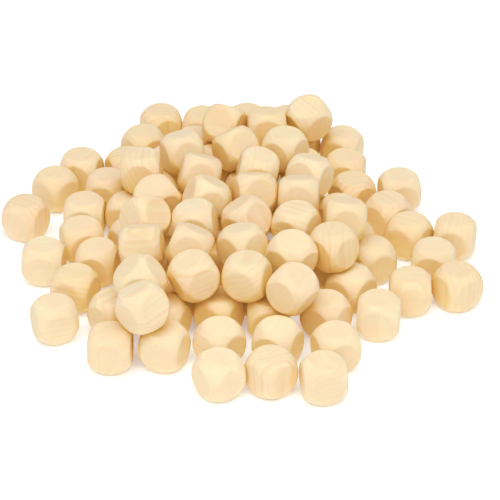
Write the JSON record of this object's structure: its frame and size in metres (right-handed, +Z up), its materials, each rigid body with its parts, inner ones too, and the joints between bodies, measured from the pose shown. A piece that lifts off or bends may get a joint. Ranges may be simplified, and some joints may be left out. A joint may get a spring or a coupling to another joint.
{
  "type": "blank wooden dice",
  "caption": "Heap of small blank wooden dice with ball-rounded corners and round flats, unfinished pale hardwood, for marking and play.",
  "frame": {"origin": "bottom centre of the heap's bounding box, on the table the dice lie on", "axes": "+X to the right of the heap, +Y to its back, +Z up from the table"},
  "size_m": [0.192, 0.209, 0.0364],
  "materials": {
    "bare_wood": "sanded, unfinished"
  },
  "bodies": {
    "heap": {"back_dice_under": "bare_wood", "front_dice_under": "bare_wood", "left_dice_under": "bare_wood", "middle_dice_under": "bare_wood", "right_dice_under": "bare_wood", "upper_dice_under": "bare_wood"},
    "back_die_01": {"back_die_01": "bare_wood"},
    "back_die_06": {"back_die_06": "bare_wood"},
    "back_die_07": {"back_die_07": "bare_wood"},
    "back_die_08": {"back_die_08": "bare_wood"},
    "back_die_09": {"back_die_09": "bare_wood"},
    "front_die_01": {"front_die_01": "bare_wood"},
    "front_die_02": {"front_die_02": "bare_wood"},
    "front_die_03": {"front_die_03": "bare_wood"},
    "front_die_06": {"front_die_06": "bare_wood"},
    "front_die_08": {"front_die_08": "bare_wood"},
    "front_die_09": {"front_die_09": "bare_wood"},
    "front_die_15": {"front_die_15": "bare_wood"},
    "left_die_01": {"left_die_01": "bare_wood"},
    "left_die_03": {"left_die_03": "bare_wood"},
    "left_die_05": {"left_die_05": "bare_wood"},
    "left_die_07": {"left_die_07": "bare_wood"},
    "left_die_08": {"left_die_08": "bare_wood"},
    "left_die_10": {"left_die_10": "bare_wood"},
    "left_die_11": {"left_die_11": "bare_wood"},
    "left_die_13": {"left_die_13": "bare_wood"},
    "left_die_14": {"left_die_14": "bare_wood"},
    "right_die_02": {"right_die_02": "bare_wood"},
    "right_die_03": {"right_die_03": "bare_wood"},
    "right_die_05": {"right_die_05": "bare_wood"},
    "right_die_07": {"right_die_07": "bare_wood"},
    "right_die_08": {"right_die_08": "bare_wood"},
    "right_die_09": {"right_die_09": "bare_wood"},
    "right_die_10": {"right_die_10": "bare_wood"},
    "right_die_11": {"right_die_11": "bare_wood"},
    "right_die_12": {"right_die_12": "bare_wood"},
    "upper_die_03": {"upper_die_03": "bare_wood"},
    "upper_die_04": {"upper_die_04": "bare_wood"},
    "upper_die_05": {"upper_die_05": "bare_wood"},
    "upper_die_08": {"upper_die_08": "bare_wood"},
    "upper_die_10": {"upper_die_10": "bare_wood"},
    "upper_die_11": {"upper_die_11": "bare_wood"},
    "upper_die_12": {"upper_die_12": "bare_wood"},
    "upper_die_13": {"upper_die_13": "bare_wood"},
    "upper_die_14": {"upper_die_14": "bare_wood"},
    "upper_die_19": {"upper_die_19": "bare_wood"},
    "upper_die_20": {"upper_die_20": "bare_wood"},
    "upper_die_21": {"upper_die_21": "bare_wood"},
    "upper_die_22": {"upper_die_22": "bare_wood"},
    "upper_die_24": {"upper_die_24": "bare_wood"},
    "upper_die_25": {"upper_die_25": "bare_wood"},
    "upper_die_26": {"upper_die_26": "bare_wood"},
    "upper_die_29": {"upper_die_29": "bare_wood"}
  },
  "joints": [
    {"name": "lift_back_die_01", "type": "slide", "parent": "heap", "child": "back_die_01", "axis": [0, 0, 1], "range_m": [0, 0.048]},
    {"name": "lift_back_die_06", "type": "slide", "parent": "heap", "child": "back_die_06", "axis": [0, 0, 1], "range_m": [0, 0.048]},
    {"name": "lift_back_die_07", "type": "slide", "parent": "heap", "child": "back_die_07", "axis": [0, 0, 1], "range_m": [0, 0.048]},
    {"name": "lift_back_die_08", "type": "slide", "parent": "heap", "child": "back_die_08", "axis": [0, 0, 1], "range_m": [0, 0.048]},
    {"name": "lift_back_die_09", "type": "slide", "parent": "heap", "child": "back_die_09", "axis": [0, 0, 1], "range_m": [0, 0.048]},
    {"name": "lift_front_die_01", "type": "slide", "parent": "heap", "child": "front_die_01", "axis": [0, 0, 1], "range_m": [0, 0.048]},
    {"name": "lift_front_die_02", "type": "slide", "parent": "heap", "child": "front_die_02", "axis": [0, 0, 1], "range_m": [0, 0.048]},
    {"name": "lift_front_die_03", "type": "slide", "parent": "heap", "child": "front_die_03", "axis": [0, 0, 1], "range_m": [0, 0.048]},
    {"name": "lift_front_die_06", "type": "slide", "parent": "heap", "child": "front_die_06", "axis": [0, 0, 1], "range_m": [0, 0.048]},
    {"name": "lift_front_die_08", "type": "slide", "parent": "heap", "child": "front_die_08", "axis": [0, 0, 1], "range_m": [0, 0.048]},
    {"name": "lift_front_die_09", "type": "slide", "parent": "heap", "child": "front_die_09", "axis": [0, 0, 1], "range_m": [0, 0.048]},
    {"name": "lift_front_die_15", "type": "slide", "parent": "heap", "child": "front_die_15", "axis": [0, 0, 1], "range_m": [0, 0.048]},
    {"name": "lift_left_die_01", "type": "slide", "parent": "heap", "child": "left_die_01", "axis": [0, 0, 1], "range_m": [0, 0.048]},
    {"name": "lift_left_die_03", "type": "slide", "parent": "heap", "child": "left_die_03", "axis": [0, 0, 1], "range_m": [0, 0.048]},
    {"name": "lift_left_die_05", "type": "slide", "parent": "heap", "child": "left_die_05", "axis": [0, 0, 1], "range_m": [0, 0.048]},
    {"name": "lift_left_die_07", "type": "slide", "parent": "heap", "child": "left_die_07", "axis": [0, 0, 1], "range_m": [0, 0.048]},
    {"name": "lift_left_die_08", "type": "slide", "parent": "heap", "child": "left_die_08", "axis": [0, 0, 1], "range_m": [0, 0.048]},
    {"name": "lift_left_die_10", "type": "slide", "parent": "heap", "child": "left_die_10", "axis": [0, 0, 1], "range_m": [0, 0.048]},
    {"name": "lift_left_die_11", "type": "slide", "parent": "heap", "child": "left_die_11", "axis": [0, 0, 1], "range_m": [0, 0.048]},
    {"name": "lift_left_die_13", "type": "slide", "parent": "heap", "child": "left_die_13", "axis": [0, 0, 1], "range_m": [0, 0.048]},
    {"name": "lift_left_die_14", "type": "slide", "parent": "heap", "child": "left_die_14", "axis": [0, 0, 1], "range_m": [0, 0.048]},
    {"name": "lift_right_die_02", "type": "slide", "parent": "heap", "child": "right_die_02", "axis": [0, 0, 1], "range_m": [0, 0.048]},
    {"name": "lift_right_die_03", "type": "slide", "parent": "heap", "child": "right_die_03", "axis": [0, 0, 1], "range_m": [0, 0.048]},
    {"name": "lift_right_die_05", "type": "slide", "parent": "heap", "child": "right_die_05", "axis": [0, 0, 1], "range_m": [0, 0.048]},
    {"name": "lift_right_die_07", "type": "slide", "parent": "heap", "child": "right_die_07", "axis": [0, 0, 1], "range_m": [0, 0.048]},
    {"name": "lift_right_die_08", "type": "slide", "parent": "heap", "child": "right_die_08", "axis": [0, 0, 1], "range_m": [0, 0.048]},
    {"name": "lift_right_die_09", "type": "slide", "parent": "heap", "child": "right_die_09", "axis": [0, 0, 1], "range_m": [0, 0.048]},
    {"name": "lift_right_die_10", "type": "slide", "parent": "heap", "child": "right_die_10", "axis": [0, 0, 1], "range_m": [0, 0.048]},
    {"name": "lift_right_die_11", "type": "slide", "parent": "heap", "child": "right_die_11", "axis": [0, 0, 1], "range_m": [0, 0.048]},
    {"name": "lift_right_die_12", "type": "slide", "parent": "heap", "child": "right_die_12", "axis": [0, 0, 1], "range_m": [0, 0.048]},
    {"name": "lift_upper_die_03", "type": "slide", "parent": "heap", "child": "upper_die_03", "axis": [0, 0, 1], "range_m": [0, 0.048]},
    {"name": "lift_upper_die_04", "type": "slide", "parent": "heap", "child": "upper_die_04", "axis": [0, 0, 1], "range_m": [0, 0.048]},
    {"name": "lift_upper_die_05", "type": "slide", "parent": "heap", "child": "upper_die_05", "axis": [0, 0, 1], "range_m": [0, 0.048]},
    {"name": "lift_upper_die_08", "type": "slide", "parent": "heap", "child": "upper_die_08", "axis": [0, 0, 1], "range_m": [0, 0.048]},
    {"name": "lift_upper_die_10", "type": "slide", "parent": "heap", "child": "upper_die_10", "axis": [0, 0, 1], "range_m": [0, 0.048]},
    {"name": "lift_upper_die_11", "type": "slide", "parent": "heap", "child": "upper_die_11", "axis": [0, 0, 1], "range_m": [0, 0.048]},
    {"name": "lift_upper_die_12", "type": "slide", "parent": "heap", "child": "upper_die_12", "axis": [0, 0, 1], "range_m": [0, 0.048]},
    {"name": "lift_upper_die_13", "type": "slide", "parent": "heap", "child": "upper_die_13", "axis": [0, 0, 1], "range_m": [0, 0.048]},
    {"name": "lift_upper_die_14", "type": "slide", "parent": "heap", "child": "upper_die_14", "axis": [0, 0, 1], "range_m": [0, 0.048]},
    {"name": "lift_upper_die_19", "type": "slide", "parent": "heap", "child": "upper_die_19", "axis": [0, 0, 1], "range_m": [0, 0.048]},
    {"name": "lift_upper_die_20", "type": "slide", "parent": "heap", "child": "upper_die_20", "axis": [0, 0, 1], "range_m": [0, 0.048]},
    {"name": "lift_upper_die_21", "type": "slide", "parent": "heap", "child": "upper_die_21", "axis": [0, 0, 1], "range_m": [0, 0.048]},
    {"name": "lift_upper_die_22", "type": "slide", "parent": "heap", "child": "upper_die_22", "axis": [0, 0, 1], "range_m": [0, 0.048]},
    {"name": "lift_upper_die_24", "type": "slide", "parent": "heap", "child": "upper_die_24", "axis": [0, 0, 1], "range_m": [0, 0.048]},
    {"name": "lift_upper_die_25", "type": "slide", "parent": "heap", "child": "upper_die_25", "axis": [0, 0, 1], "range_m": [0, 0.048]},
    {"name": "lift_upper_die_26", "type": "slide", "parent": "heap", "child": "upper_die_26", "axis": [0, 0, 1], "range_m": [0, 0.048]},
    {"name": "lift_upper_die_29", "type": "slide", "parent": "heap", "child": "upper_die_29", "axis": [0, 0, 1], "range_m": [0, 0.048]}
  ]
}
